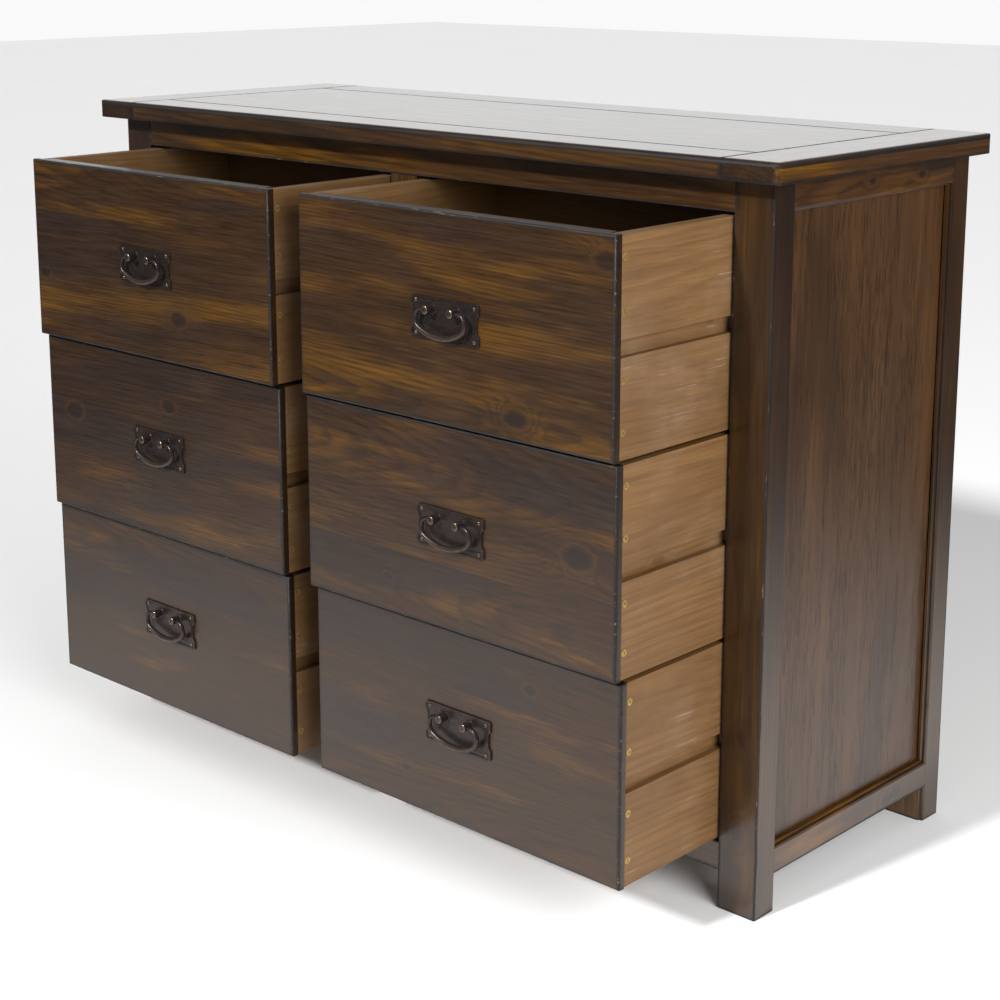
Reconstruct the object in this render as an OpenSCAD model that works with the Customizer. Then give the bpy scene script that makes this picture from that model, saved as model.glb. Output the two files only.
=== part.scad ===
// Dresser with two columns of three side-hung drawers, framed side panels and bail pulls.
// Seen from the front +X is to the right, +Y to the back and +Z up; the floor is at Z = 0.

/* [Carcass] */
// Width over the legs
body_w = 1032; // [860:1:1260]
// Depth from the front faces of the front legs to the back faces of the rear legs
body_d = 364; // [345:1:460]
// Height of the top face above the floor
body_h = 800; // [660:1:980]
// Width of each leg, side to side
leg_w = 48; // [40:1:60]
// Depth of a front leg
front_leg_d = 38; // [30:0.5:60]
// Depth of a rear leg
rear_leg_d = 34.5; // [30:0.5:60]
// Height of the lower rails above the floor
floor_gap = 43; // [25:1:90]
// Depth of the stub tenons on the rails
tenon_l = 12; // [6:1:20]
// Thickness of the stub tenons
tenon_t = 8; // [5:0.5:12]
// Shoulder left beside the tenons
tenon_shoulder = 5; // [3:0.5:7]

/* [Front frame] */
// Height of the front top rail
front_top_rail_h = 34.5; // [25:0.5:60]
// Height of the front bottom rail
front_bottom_rail_h = 31.5; // [22:0.5:60]
// Thickness of the front rails
front_rail_t = 20; // [16:1:28]
// Set-back of the front rails behind the legs
rail_set_back = 0.5; // [0:0.1:3]
// Width of the centre stiles between the drawer columns
stile_w = 42; // [32:1:60]
// Depth of the front centre stile
stile_d = 36; // [24:1:60]
// Set-back of the front centre stile behind the front rails
stile_set_back = 1.5; // [0:0.5:4]
// Length of the stub tenons on the centre stiles
stub_l = 8; // [4:1:10]

/* [Side and back frames] */
// Plain height of a side top rail
side_top_rail_h = 29; // [22:0.5:60]
// Plain height of a side bottom rail
side_bottom_rail_h = 28; // [22:0.5:60]
// Thickness of the side rails
side_rail_t = 22; // [18:1:28]
// How far the side panel lies behind the frame's face
panel_recess = 10; // [8:0.5:11]
// Thickness of the side panels
panel_t = 5; // [3:0.5:6]
// How far the side panel goes into its groove
panel_groove = 8; // [5:0.5:10]
// Gap between the side panel and the tenons of the side rails
panel_end_gap = 1.5; // [0.5:0.5:3]
// Height of the back rails
back_rail_h = 60; // [35:1:90]
// Thickness of the back rails and of the rear centre stile
back_rail_t = 18; // [12:1:24]
// Thickness of the back panel and of the centre partition
ply_t = 4; // [3:0.5:6]
// How far the back panel lies inside the back faces of the rear legs
back_inset = 1; // [0:0.5:4]
// Width of the rebates that hold the back panel
back_rebate = 8; // [5:1:12]

/* [Moulding of the side frames] */
// Radius of each bead
bead_r = 1.8; // [1.2:0.1:2.2]
// Step beside each bead
quirk = 0.45; // [0.2:0.05:0.8]
// Depth of the first bead below the face
bead_drop = 0.7; // [0.3:0.1:1.2]
// Distance from bead to bead, measured into the frame
bead_pitch = 3.9; // [3:0.1:5]

/* [Top] */
// Thickness of the top
top_t = 22; // [18:1:35]
// Overhang of the top at the front
top_over_front = 27; // [10:1:50]
// Overhang of the top at each side
top_over_side = 23; // [10:1:50]
// Overhang of the top at the back
top_over_back = 8; // [0:1:30]
// Width of the end boards of the top
end_board_w = 70; // [50:1:110]
// Width of the front board of the top
top_front_w = 60; // [40:1:90]
// Width of the back board of the top
top_back_w = 72; // [40:1:90]
// Radius of the top's upper arris
arris_r = 6; // [2:0.5:8]
// Radius of the top's corners in plan
corner_r = 9; // [3:0.5:14]
// Depth of the V grooves between the boards
v_groove = 1.2; // [0.5:0.1:2.5]

/* [Drawers] */
// Gap above, below and between the drawer fronts
drawer_gap = 3; // [2:0.5:6]
// Gap at each end of a drawer front
end_gap = 2; // [1.5:0.5:4]
// Length of a drawer from its front face to its back end
drawer_l = 310; // [260:1:330]
// Thickness of a drawer front
front_t = 21; // [16:1:28]
// Thickness of the lip that covers the ends of the sides
lip_t = 9; // [5:0.5:12]
// Thickness of the drawer sides
side_t = 15; // [13:0.5:18]
// How far the sides stay inside the front's outline
side_inset = 1; // [0.5:0.25:2]
// Thickness of the drawer back
drawer_back_t = 15; // [9:0.5:18]
// Thickness of the drawer bottom
bottom_t = 5; // [3:0.5:8]
// Height of the drawer bottom above the lower edge of the sides
bottom_rise = 10; // [8:0.5:20]
// Depth of the grooves that hold the drawer bottom
bottom_groove = 5; // [3:0.5:7]

/* [Runners] */
// Height of the groove in a drawer side
groove_h = 17; // [12:0.5:24]
// Depth of the groove in a drawer side
groove_d = 8; // [5:0.5:9]
// Clearance between runner and groove on every face
runner_gap = 1; // [0.5:0.25:2]
// Clearance between a front's lip and the runner when the drawer is shut
stop_gap = 0.3; // [0.1:0.1:2]
// Distance from the runners' back ends to the back faces of the rear legs
runner_back_gap = 10; // [6:1:20]

/* [How far the drawers stand open] */
// Left column, from the top
open_left = [182, 172, 165]; // [0:1:220]
// Right column, from the top
open_right = [179, 173, 163]; // [0:1:220]

/* [Pulls] */
// Width of the backplate
plate_w = 96; // [80:1:110]
// Height of the backplate
plate_h = 44; // [38:1:60]
// Thickness of the backplate behind its rim
plate_t = 1.3; // [1:0.1:3]
// Height of the rim above the plate
rim_t = 0.8; // [0.4:0.1:2]
// Width of the rim
rim_w = 2.4; // [1.5:0.1:4]
// Narrow step between the plate's outline and the rim
rim_edge = 0.5; // [0.2:0.1:1]
// Depth of the waist in each end of the backplate
waist = 2; // [0:0.1:4]
// Length of the ears above and below the waist
ear_l = 11; // [8:0.5:14]
// Distance between the knobs
knob_pitch = 35; // [30:1:45]
// Height of the knobs above the middle of the plate
knob_rise = 10.5; // [6:0.5:14]
// Diameter of a knob
knob_dia = 9; // [8:0.5:12]
// How far the knobs stand out from the drawer front
knob_l = 14; // [12:0.5:20]
// Bevel round the face of a knob
knob_bevel = 1; // [0.4:0.1:2]
// Thickness of the collar at the foot of a knob
collar_t = 1.2; // [0.6:0.1:2]
// Width of that collar beyond the knob
collar_w = 1.5; // [1:0.1:3]
// Distance of the corner studs from the ends of the backplate
stud_from_end = 7; // [5:0.5:9]
// Distance of the corner studs from its long edges
stud_from_edge = 5; // [4:0.5:7]
// Diameter of a stud where it meets the plate
stud_dia = 4.4; // [3:0.1:5]
// Diameter of a stud at its top
stud_top_dia = 2.6; // [1:0.1:3]
// Height of the studs above the plate
stud_h = 1.4; // [0.6:0.1:2]
// Distance of the bail's axis from the drawer front
bail_out = 9; // [8:0.5:12]
// Diameter of the bail's pins
bail_pin_dia = 3.6; // [3:0.1:4.5]
// Radial clearance of the bail's pins in the knobs
pin_clearance = 0.05; // [0.02:0.01:0.1]
// Depth of the holes for the bail's pins
pin_hole_l = 7; // [4:0.5:8]
// Gap between a pin's end and the bottom of its hole
pin_end_gap = 0.5; // [0.2:0.1:1]
// Diameter of the bail at its shoulders
bail_thin = 4.2; // [3.6:0.1:5]
// Diameter of the bail at its sides
bail_mid = 5.4; // [4:0.1:6]
// Diameter of the bail at the bottom
bail_thick = 6.8; // [5:0.1:8]
// Thickening of the bail where its sides run into its bottom
bail_swell = 0.7; // [0:0.1:1]
// How far the bail's centre line swings out beyond the knobs
bail_reach = 13; // [11:0.5:16]
// Radius of the bail's shoulders
shoulder_r = 10; // [8:0.5:12]
// Radius of the bail's bottom
sweep_r = 60; // [50:1:90]
// Drop of the bail's centre line below its axis
bail_drop = 27.5; // [24:0.5:32]

/* [Screws] */
// Diameter of the heads of the wood screws
head_dia = 7.6; // [6:0.1:9]
// Diameter of the wood screws
screw_dia = 4; // [3:0.1:5]
// Length of the wood screws in the drawers
screw_l = 30; // [24:1:40]
// Length of the wood screws through the runners
runner_screw_l = 22; // [18:1:28]
// How far the screws of the top go into it
top_bite = 11; // [8:1:15]
// How far the bolts of a pull go into its knobs
bolt_bite = 3; // [2:0.5:4]
// Thickness of the heads of those bolts
bolt_head_t = 2.4; // [1.5:0.1:4]
// How far a head stands out, enough to be seen
head_proud = 0.2; // [0:0.1:0.5]

/* [Hidden] */
COLUMNS = ["left", "right"];
ROWS = ["top", "middle", "bottom"];
CARCASS = ["top_panel", "top_front_board", "top_back_board", "top_end_boards", "front_legs", "rear_legs",
    "front_top_rail", "front_bottom_rail", "back_rails", "left_side_rails", "right_side_rails",
    "left_side_panel", "right_side_panel", "centre_stiles", "centre_partition", "back_panel",
    "drawer_runners", "carcass_screws"];
DRAWER = ["drawer_front", "drawer_sides", "drawer_back", "drawer_bottom", "drawer_screws", "pull_plate",
    "pull_bail"];

WALNUT = "#4a2d18";
DARK_WALNUT = "#3b2414";
RAW_PINE = "#a07c50";
BRONZE = "#3a2f28";
ZINC = "#c9b458";

// Heights of the screws in a drawer's sides, from the top, as shares of its front
FRONT_SCREWS = [0.1, 0.34, 0.64, 0.87];
BACK_SCREWS = [0.16, 0.38, 0.62, 0.84];

e = 0.01;
over = 1;
$fn = 32;

// Derived sizes of the carcass
half_w = body_w / 2;
inner_x = half_w - leg_w;
leg_h = body_h - top_t;
mould_w = 2 * (bead_r + quirk);
top_w = body_w + 2 * top_over_side;
top_d = body_d + top_over_front + top_over_back;
field_w = top_w - 2 * end_board_w;
field_d = top_d - top_front_w - top_back_w;
open_top = leg_h - front_top_rail_h;
open_bottom = floor_gap + front_bottom_rail_h;
panel_x = half_w - panel_recess - panel_t;
panel_high = leg_h - side_top_rail_h - mould_w + panel_groove;
panel_low = floor_gap + side_bottom_rail_h + mould_w - panel_groove;
back_y = body_d - ply_t - back_inset;
front_open_y = front_leg_d - mould_w;
rear_open_y = body_d - rear_leg_d + mould_w;
rail_y = rail_set_back + front_rail_t / 2;
stile_y = rail_set_back + stile_set_back;
rear_stile_y = back_y - back_rail_t;
bail_sides = 12;
bail_steps = 6;
bail_half_w = (knob_pitch + knob_dia) / 2 + bail_reach;

// Derived sizes of the drawers
front_h = (open_top - open_bottom - 4 * drawer_gap) / 3;
front_w = inner_x - stile_w / 2 - 2 * end_gap;
side_h = front_h - 2 * side_inset;
runner_h = groove_h - 2 * runner_gap;
runner_w = end_gap + side_inset + groove_d - runner_gap;
runner_start = lip_t + stop_gap;
runner_end = body_d - runner_back_gap;
groove_z = front_h / 2 - groove_h / 2;
box_w = front_w - 2 * side_inset - 2 * side_t;
bottom_z = side_inset + bottom_rise;

// The middle of the footprint, with the drawers as they stand, is the origin
front_most = max(concat(open_left, open_right)) + knob_l;
mid_y = (body_d + top_over_back - front_most) / 2;

function opened(c, r) = c == 0 ? open_left[r] : open_right[r];
function drawer_x(c) = c == 0 ? -inner_x + end_gap : stile_w / 2 + end_gap;
function drawer_z(r) = open_bottom + drawer_gap + (2 - r) * (front_h + drawer_gap);

module place() translate([0, -mid_y, 0]) children();

module both_sides() {
    children();
    mirror([1, 0, 0]) children();
}

// A box given by its lowest and highest corners
module box(low, high) translate(low) cube(high - low);

// ---- Outlines ----

// Points of one bead of a frame member, w thick and d wide: step is its distance into the frame from the
// start of the moulding, and drop its depth below the face
function bead(w, d, step, drop) = [for (a = [0:15:90])
    [w - drop - bead_r + bead_r * cos(a), d - mould_w + step + bead_r * sin(a)]];

// Section of a frame member, w thick and d wide, with its beaded arris at [w, d] and eased at [w, 0]
module beaded_section(w, d, ease) {
    polygon(concat(
        [[0, 0], [w - ease, 0], [w, ease], [w, d - mould_w], [w - bead_drop, d - mould_w]],
        bead(w, d, quirk, bead_drop),
        [[w - bead_drop - bead_pitch, d - mould_w + quirk + bead_r]],
        bead(w, d, 2 * quirk + bead_r, bead_drop + bead_pitch),
        [[w - panel_recess, d], [0, d]]));
}

// Section of a board w wide and t thick, with its upper arris rounded at x = 0
module rounded_section(w, t, r) {
    translate([r, 0]) square([w - r, t]);
    square([r + e, t - r]);
    translate([r, t - r]) circle(r);
}

// ---- Top ----

// A board lying along X from x0, its outer edge at y0, facing the front (s = 1) or the back (s = -1)
module long_board(x0, y0, l, w, s) {
    translate([x0, y0, leg_h]) mirror([0, s < 0 ? 1 : 0, 0])
        rotate([90, 0, 90]) linear_extrude(l) rounded_section(w, top_t, arris_r);
}

module top_front_board()
    color(DARK_WALNUT) long_board(-field_w / 2, -top_over_front, field_w, top_front_w, 1);

module top_back_board()
    color(DARK_WALNUT) long_board(-field_w / 2, body_d + top_over_back, field_w, top_back_w, -1);

// The wide middle board of the top, eased along its front and back joints
module top_panel() {
    y0 = top_front_w - top_over_front;
    color(WALNUT) translate([-field_w / 2, y0, leg_h]) rotate([90, 0, 90]) linear_extrude(field_w)
        polygon([[0, 0], [field_d, 0], [field_d, top_t - v_groove], [field_d - v_groove, top_t],
            [v_groove, top_t], [0, top_t - v_groove]]);
}

// Plan of the right-hand end board, with its two outer corners rounded
module end_board_plan() {
    translate([field_w / 2, -top_over_front]) {
        square([end_board_w - corner_r, top_d]);
        translate([0, corner_r]) square([end_board_w, top_d - 2 * corner_r]);
        for (y = [corner_r, top_d - corner_r]) translate([end_board_w - corner_r, y]) circle(corner_r);
    }
}

module right_end_board() {
    intersection() {
        translate([0, 0, leg_h - over]) linear_extrude(top_t + 2 * over) end_board_plan();
        union() {
            long_board(field_w / 2 - over, -top_over_front, end_board_w + 2 * over, top_d / 2 + e, 1);
            long_board(field_w / 2 - over, body_d + top_over_back, end_board_w + 2 * over, top_d / 2 + e, -1);
        }
        translate([top_w / 2, body_d + top_over_back + over, leg_h]) mirror([1, 0, 0])
            rotate([90, 0, 0]) linear_extrude(top_d + 2 * over) difference() {
                rounded_section(end_board_w, top_t, arris_r);
                translate([end_board_w, top_t]) rotate(45) square(v_groove * sqrt(2), center = true);
            }
    }
}

module top_end_boards() color(DARK_WALNUT) both_sides() right_end_board();

// ---- Legs and rails ----

module front_leg_blank() {
    translate([inner_x, 0, 0]) linear_extrude(leg_h) beaded_section(leg_w, front_leg_d, 1);
}

module rear_leg_blank() {
    translate([inner_x, body_d, 0]) mirror([0, 1, 0])
        linear_extrude(leg_h) beaded_section(leg_w, rear_leg_d, 1);
}

// The space of the right-hand side panel, which the legs and rails are grooved for
module panel_space() {
    box([panel_x, front_leg_d - panel_groove, panel_low],
        [panel_x + panel_t, body_d - rear_leg_d + panel_groove, panel_high]);
}

// The tenons of a side rail from z0 to z1, as one bar through its whole length
module side_tenon(z0, z1) {
    x0 = half_w - side_rail_t + tenon_shoulder;
    box([x0, front_leg_d - tenon_l, z0], [x0 + tenon_t, body_d - rear_leg_d + tenon_l, z1]);
}

// The tenons of a rail between the legs, which lies h high on z with its middle at y
module cross_tenon(y, z, h) {
    box([-inner_x - tenon_l, y - tenon_t / 2, z + tenon_shoulder],
        [inner_x + tenon_l, y + tenon_t / 2, z + h - tenon_shoulder]);
}

module front_top_tenon() cross_tenon(rail_y, open_top, front_top_rail_h);
module front_bottom_tenon() cross_tenon(rail_y, floor_gap, front_bottom_rail_h);
module back_tenons() {
    for (z = [floor_gap, leg_h - back_rail_h]) cross_tenon(back_y - back_rail_t / 2, z, back_rail_h);
}
module side_tenons() {
    side_tenon(panel_high + panel_end_gap, leg_h - tenon_shoulder);
    side_tenon(floor_gap + tenon_shoulder, panel_low - panel_end_gap);
}

module front_legs() {
    color(DARK_WALNUT) both_sides() difference() {
        front_leg_blank();
        panel_space();
        side_tenons();
        front_top_tenon();
        front_bottom_tenon();
    }
}

module rear_legs() {
    color(DARK_WALNUT) both_sides() difference() {
        rear_leg_blank();
        panel_space();
        side_tenons();
        back_tenons();
        box([inner_x - e, back_y, floor_gap], [inner_x + back_rebate, body_d + e, leg_h + e]);
    }
}

module front_top_rail() {
    color(WALNUT) difference() {
        union() {
            box([-inner_x, rail_set_back, open_top], [inner_x, rail_set_back + front_rail_t, leg_h]);
            front_top_tenon();
        }
        stile_stub(rail_y);
    }
}

module front_bottom_rail() {
    color(DARK_WALNUT) difference() {
        union() {
            box([-inner_x, rail_set_back, floor_gap], [inner_x, rail_set_back + front_rail_t, open_bottom]);
            front_bottom_tenon();
        }
        stile_stub(rail_y);
    }
}

module back_rails() {
    color(RAW_PINE) difference() {
        union() {
            for (z = [floor_gap, leg_h - back_rail_h])
                box([-inner_x, rear_stile_y, z], [inner_x, back_y, z + back_rail_h]);
            back_tenons();
        }
        rear_stile_stub();
        partition_space();
    }
}

// Stub tenons of the centre stiles, which reach from rail to rail
module stile_stub(y) {
    x = stile_w / 2 - tenon_shoulder;
    box([-x, y - tenon_t / 2, open_bottom - stub_l], [x, y + tenon_t / 2, open_top + stub_l]);
}

module rear_stile_stub() {
    x = stile_w / 2 - tenon_shoulder;
    y = back_y - back_rail_t / 2;
    box([-x, y - tenon_t / 2, floor_gap + back_rail_h - stub_l],
        [x, y + tenon_t / 2, leg_h - back_rail_h + stub_l]);
}

// The space of the partition between the drawer columns
module partition_space() {
    box([-ply_t / 2, stile_y + stile_d - stub_l, open_bottom], [ply_t / 2, rear_stile_y + stub_l, open_top]);
}

module centre_stiles() {
    color(WALNUT) difference() {
        union() {
            box([-stile_w / 2, stile_y, open_bottom], [stile_w / 2, stile_y + stile_d, open_top]);
            stile_stub(rail_y);
            box([-stile_w / 2, rear_stile_y, floor_gap + back_rail_h],
                [stile_w / 2, back_y, leg_h - back_rail_h]);
            rear_stile_stub();
        }
        partition_space();
    }
}

module centre_partition() {
    color(RAW_PINE) partition_space();
}

// A pair of right-hand side rails, scribed over the legs' beads
module side_rails() {
    difference() {
        for (top = [false, true]) {
            h = (top ? side_top_rail_h : side_bottom_rail_h) + mould_w;
            translate([half_w - side_rail_t, rear_open_y, top ? leg_h : floor_gap])
                mirror([0, 0, top ? 1 : 0]) rotate([90, 0, 0])
                    linear_extrude(rear_open_y - front_open_y) beaded_section(side_rail_t, h, 0);
        }
        front_leg_blank();
        rear_leg_blank();
        panel_space();
    }
    side_tenons();
}

module left_side_rails() color(DARK_WALNUT) mirror([1, 0, 0]) side_rails();
module right_side_rails() color(DARK_WALNUT) side_rails();
module left_side_panel() color(WALNUT) mirror([1, 0, 0]) panel_space();
module right_side_panel() color(WALNUT) panel_space();

module back_panel() {
    color(RAW_PINE) box([-inner_x - back_rebate, back_y, floor_gap],
        [inner_x + back_rebate, back_y + ply_t, leg_h]);
}

// ---- Runners and screws of the carcass ----

// Runs its children at each runner: on the outer (s = 1) and inner (s = -1) wall of each column
module at_runners() {
    for (c = [0, 1]) for (r = [0:2]) for (s = [-1, 1]) {
        wall = s > 0 ? drawer_x(c) + front_w + end_gap : drawer_x(c) - end_gap;
        translate([wall, 0, drawer_z(r) + groove_z + runner_gap]) mirror([s > 0 ? 1 : 0, 0, 0]) children();
    }
}

module drawer_runners() {
    color(RAW_PINE) at_runners() box([0, runner_start, 0], [runner_w, runner_end, runner_h]);
}

// A countersunk screw whose head lies in the plane z = 0 and whose point is at z = -l
module wood_screw(l) {
    sink = (head_dia - screw_dia) / 2;
    translate([0, 0, -l]) cylinder(h = l, d = screw_dia);
    translate([0, 0, -sink]) cylinder(h = sink, d1 = screw_dia, d2 = head_dia);
    cylinder(h = head_proud, d = head_dia);
}

module carcass_screws() {
    ends = [front_leg_d / 2, rear_stile_y + back_rail_t / 2];
    color(ZINC) {
        at_runners() for (y = ends)
            translate([runner_w, y, runner_h / 2]) rotate([0, 90, 0]) wood_screw(runner_screw_l);
        for (k = [-3, -1, 1, 3]) {
            translate([k * field_w / 8, rail_y, open_top])
                rotate([180, 0, 0]) wood_screw(front_top_rail_h + top_bite);
            translate([k * field_w / 8, back_y - back_rail_t / 2, leg_h - back_rail_h])
                rotate([180, 0, 0]) wood_screw(back_rail_h + top_bite);
        }
    }
}

// ---- Drawers ----

// Moves to the lower left corner of a drawer's front face, with the drawer as it stands
module at_drawer(c, r) translate([drawer_x(c), -opened(c, r), drawer_z(r)]) children();

// Moves to the middle of a drawer's front face
module at_pull(c, r) at_drawer(c, r) translate([front_w / 2, 0, front_h / 2]) children();

// Runs its children for the left-hand and the mirrored right-hand end of a drawer
module both_ends() {
    children();
    translate([front_w, 0, 0]) mirror([1, 0, 0]) children();
}

// The bottom, which the front and the sides are grooved for
module bottom_space() {
    x0 = side_inset + side_t - bottom_groove;
    box([x0, front_t - bottom_groove, bottom_z], [front_w - x0, drawer_l, bottom_z + bottom_t]);
}

module drawer_front(c, r) {
    color(WALNUT) at_drawer(c, r) difference() {
        cube([front_w, front_t, front_h]);
        both_ends() box([-e, lip_t, -e], [side_inset + side_t, front_t + e, front_h + e]);
        bottom_space();
    }
}

module drawer_sides(c, r) {
    color(RAW_PINE) at_drawer(c, r) difference() {
        both_ends() difference() {
            box([side_inset, lip_t, side_inset], [side_inset + side_t, drawer_l, side_inset + side_h]);
            box([side_inset - e, lip_t - e, groove_z],
                [side_inset + groove_d, drawer_l + e, groove_z + groove_h]);
        }
        bottom_space();
    }
}

module drawer_back(c, r) {
    x0 = side_inset + side_t;
    color(RAW_PINE) at_drawer(c, r) box([x0, drawer_l - drawer_back_t, bottom_z + bottom_t],
        [x0 + box_w, drawer_l, side_inset + side_h]);
}

module drawer_bottom(c, r) color(RAW_PINE) at_drawer(c, r) bottom_space();

// Screws through the sides into the front and the back, and the two bolts that hold the pull
module drawer_screws(c, r) {
    bolt_l = front_t + plate_t + bolt_bite;
    color(ZINC) at_drawer(c, r) {
        both_ends() {
            for (k = FRONT_SCREWS)
                translate([side_inset, (lip_t + front_t) / 2, front_h * (1 - k)])
                    rotate([0, -90, 0]) wood_screw(screw_l);
            for (k = BACK_SCREWS)
                translate([side_inset, drawer_l - drawer_back_t / 2, front_h * (1 - k)])
                    rotate([0, -90, 0]) wood_screw(screw_l);
        }
        for (s = [-1, 1])
            translate([front_w / 2 + s * knob_pitch / 2, front_t, front_h / 2 + knob_rise])
                rotate([-90, 0, 0]) {
                    translate([0, 0, -bolt_l]) cylinder(h = bolt_l, d = screw_dia);
                    cylinder(h = bolt_head_t, d = head_dia);
                }
    }
}

// ---- Pulls ----

// Outline of the backplate, shrunk by s all round, with waisted ends
module plate_outline(s) {
    x = plate_w / 2 - s;
    z = plate_h / 2 - s;
    ear = ear_l - s;
    right = [[x, -z], [x, -z + ear], [x - waist, -z + ear + waist],
        [x - waist, z - ear - waist], [x, z - ear], [x, z]];
    polygon(concat(right, [for (i = [5:-1:0]) [-right[i][0], right[i][1]]]));
}

// Backplate with its raised rim, two knobs bored for the bail, and four studs
module pull_plate(c, r) {
    color(BRONZE) at_pull(c, r) rotate([90, 0, 0]) difference() {
        union() {
            linear_extrude(plate_t) plate_outline(0);
            linear_extrude(plate_t + rim_t) difference() {
                plate_outline(rim_edge);
                plate_outline(rim_w);
            }
            for (s = [-1, 1]) {
                translate([s * knob_pitch / 2, knob_rise, 0]) {
                    cylinder(h = plate_t + collar_t, d = knob_dia + 2 * collar_w);
                    cylinder(h = knob_l - knob_bevel, d = knob_dia);
                    translate([0, 0, knob_l - knob_bevel])
                        cylinder(h = knob_bevel, d1 = knob_dia, d2 = knob_dia - 2 * knob_bevel);
                }
                for (t = [-1, 1])
                    translate([s * (plate_w / 2 - stud_from_end), t * (plate_h / 2 - stud_from_edge), 0])
                        cylinder(h = plate_t + stud_h, d1 = stud_dia, d2 = stud_top_dia);
            }
        }
        for (s = [-1, 1]) translate([s * (knob_pitch + knob_dia + e) / 2, knob_rise, bail_out])
            rotate([0, -90 * s, 0]) cylinder(h = pin_hole_l, r = bail_pin_dia / 2 + pin_clearance);
        for (s = [-1, 1]) translate([s * knob_pitch / 2, knob_rise, -e])
            cylinder(h = plate_t + bolt_bite + e, d = screw_dia);
    }
}

// Stations along the right half of the bail, from the bottom to the knob: each is the point of the centre
// line, the angle of its outward normal, and the bar's diameter
function arc_stations(cx, cz, r, a0, a1, d0, d1, n) = [for (i = [0:n - 1])
    let (t = i / n, a = a0 + (a1 - a0) * t) [cx + r * cos(a), cz + r * sin(a), a, d0 + (d1 - d0) * t]];

// Ring of points round the centre line at a station; side is -1 on the left half
function bail_ring(p, side) = [for (k = [0:bail_sides - 1])
    let (out = p[3] / 2 * cos(k * 360 / bail_sides), fore = p[3] / 2 * sin(k * 360 / bail_sides))
    [side * (p[0] + out * cos(p[2])), fore, p[1] + out * sin(p[2])]];

// The bail hangs from the two knobs by a pin at each end, and thickens towards its bottom
module pull_bail(c, r) {
    pin_in = (knob_pitch + knob_dia) / 2 - pin_hole_l + pin_end_gap;
    bail_low = bail_mid + bail_swell;
    shoulder_x = bail_half_w - shoulder_r;
    sweep_z = sweep_r - bail_drop;
    // The side arc touches the shoulder and the bottom arc
    rise = sweep_z + shoulder_r;
    side_r = (sweep_r * sweep_r - bail_half_w * bail_half_w - rise * rise) / (2 * (sweep_r - bail_half_w));
    lean = atan((bail_half_w - side_r) / rise);
    half = concat(
        arc_stations(0, sweep_z, sweep_r, -90, lean - 90, bail_thick, bail_low, bail_steps),
        arc_stations(bail_half_w - side_r, -shoulder_r, side_r, lean - 90, 0, bail_low, bail_mid,
            bail_steps),
        arc_stations(shoulder_x, -shoulder_r, shoulder_r, 0, 90, bail_mid, bail_thin, bail_steps),
        [[shoulder_x, 0, 90, bail_thin]]);
    n = len(half);
    rings = concat([for (i = [n - 1:-1:1]) bail_ring(half[i], -1)],
        [for (i = [0:n - 1]) bail_ring(half[i], 1)]);
    m = bail_sides;
    skin = [for (i = [0:len(rings) - 2]) for (k = [0:m - 1]) for (half_face = [0, 1])
        let (a = i * m + k, b = i * m + (k + 1) % m)
        half_face == 0 ? [a, b + m, b] : [a, a + m, b + m]];
    caps = [[for (k = [0:m - 1]) k], [for (k = [m - 1:-1:0]) (len(rings) - 1) * m + k]];
    color(BRONZE) at_pull(c, r) translate([0, -bail_out, knob_rise]) {
        polyhedron([for (ring = rings) for (q = ring) q], concat(skin, caps));
        both_sides() translate([pin_in, 0, 0]) rotate([0, 90, 0])
            cylinder(h = shoulder_x + over - pin_in, d = bail_pin_dia);
    }
}

place() top_panel();
place() top_front_board();
place() top_back_board();
place() top_end_boards();
place() front_legs();
place() rear_legs();
place() front_top_rail();
place() front_bottom_rail();
place() back_rails();
place() left_side_rails();
place() right_side_rails();
place() left_side_panel();
place() right_side_panel();
place() centre_stiles();
place() centre_partition();
place() back_panel();
place() drawer_runners();
place() carcass_screws();

for (c = [0, 1]) for (r = [0:2]) {
    name = str(COLUMNS[c], "_", ROWS[r], "_");
    place() drawer_front(c, r);
    place() drawer_sides(c, r);
    place() drawer_back(c, r);
    place() drawer_bottom(c, r);
    place() drawer_screws(c, r);
    place() pull_plate(c, r);
    place() pull_bail(c, r);
}
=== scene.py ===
import math
import random

import bmesh
import bpy
import numpy as np
from bpy.props import FloatProperty, FloatVectorProperty, PointerProperty
from mathutils import Euler, Matrix, Vector


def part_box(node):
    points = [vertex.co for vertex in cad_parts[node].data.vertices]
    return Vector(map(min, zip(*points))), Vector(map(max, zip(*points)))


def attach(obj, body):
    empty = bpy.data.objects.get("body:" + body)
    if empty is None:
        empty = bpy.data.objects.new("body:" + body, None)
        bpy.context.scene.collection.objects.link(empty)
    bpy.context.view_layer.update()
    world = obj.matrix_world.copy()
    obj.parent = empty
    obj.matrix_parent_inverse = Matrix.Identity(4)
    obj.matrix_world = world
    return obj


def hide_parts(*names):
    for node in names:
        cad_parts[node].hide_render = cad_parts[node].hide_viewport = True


bl_info = {
    "name": "Dresser with Side-hung Drawers",
    "version": (1, 0, 0),
    "blender": (4, 5, 0),
    "location": "View3D > Sidebar > Dresser",
    "description": "Boards, drawers, screws and bail pulls of a stained pine dresser",
    "category": "Add Mesh",
}

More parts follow.
